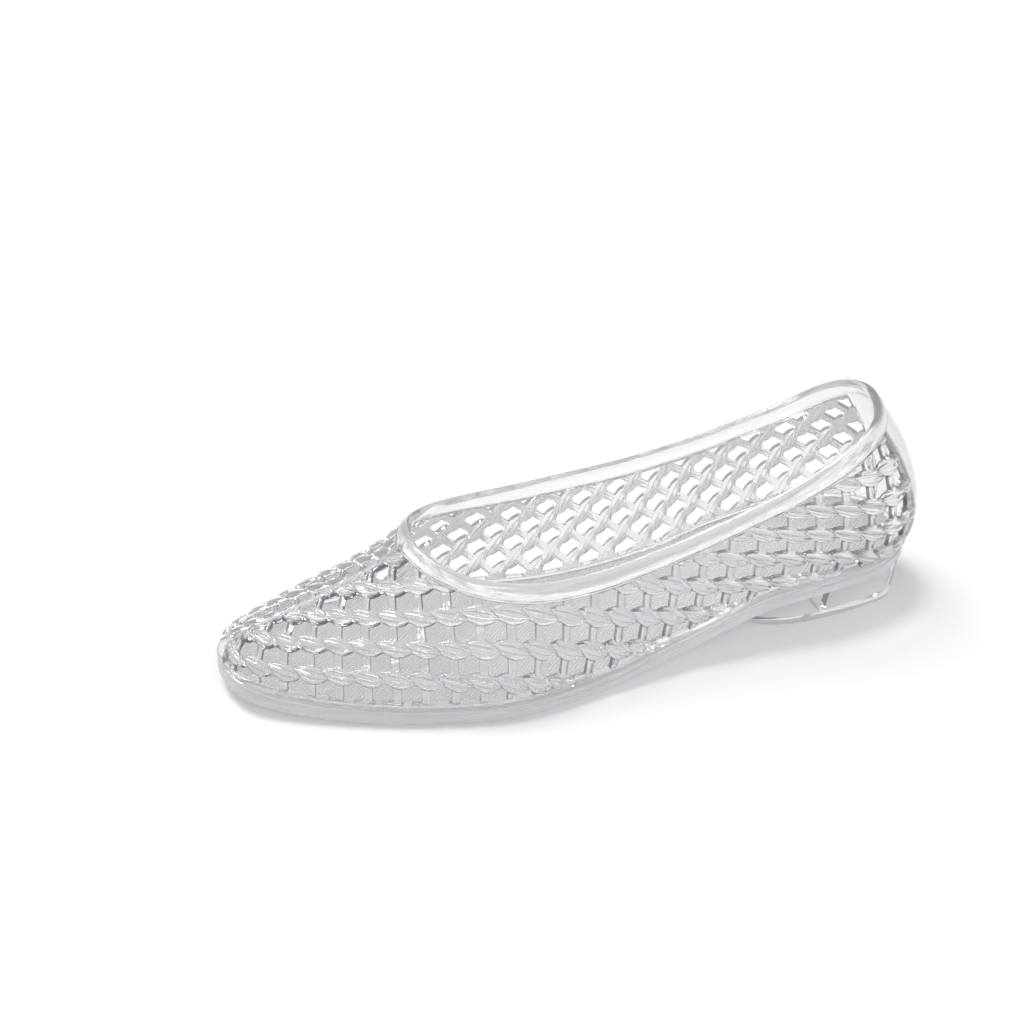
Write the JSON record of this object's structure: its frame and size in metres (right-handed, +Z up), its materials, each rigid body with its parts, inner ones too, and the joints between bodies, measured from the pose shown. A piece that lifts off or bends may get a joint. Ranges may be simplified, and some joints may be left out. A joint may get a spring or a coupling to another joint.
{
  "type": "slip-on shoe",
  "caption": "Clear moulded slip-on flat for the left foot, with a closed almond toe, a woven openwork upper, a smooth collar band and a low hollow block heel.",
  "frame": {"origin": "on the floor, under the middle of the shoe's box", "axes": "+X from heel to toe, +Y to the outer (lateral) side of the left foot, +Z up"},
  "size_m": [0.2528, 0.08, 0.0798],
  "materials": {
    "clear_pvc_upper": "clear, glossy",
    "clear_pvc_sole": "clear, faintly violet, glossy",
    "hatched_footbed": "clear, finely hatched",
    "clear_heel": "clear, faintly warm, glossy"
  },
  "bodies": {
    "root": {"upper": "clear_pvc_upper", "outsole": "clear_pvc_sole", "insole": "hatched_footbed", "heel": "clear_heel"}
  },
  "joints": []
}
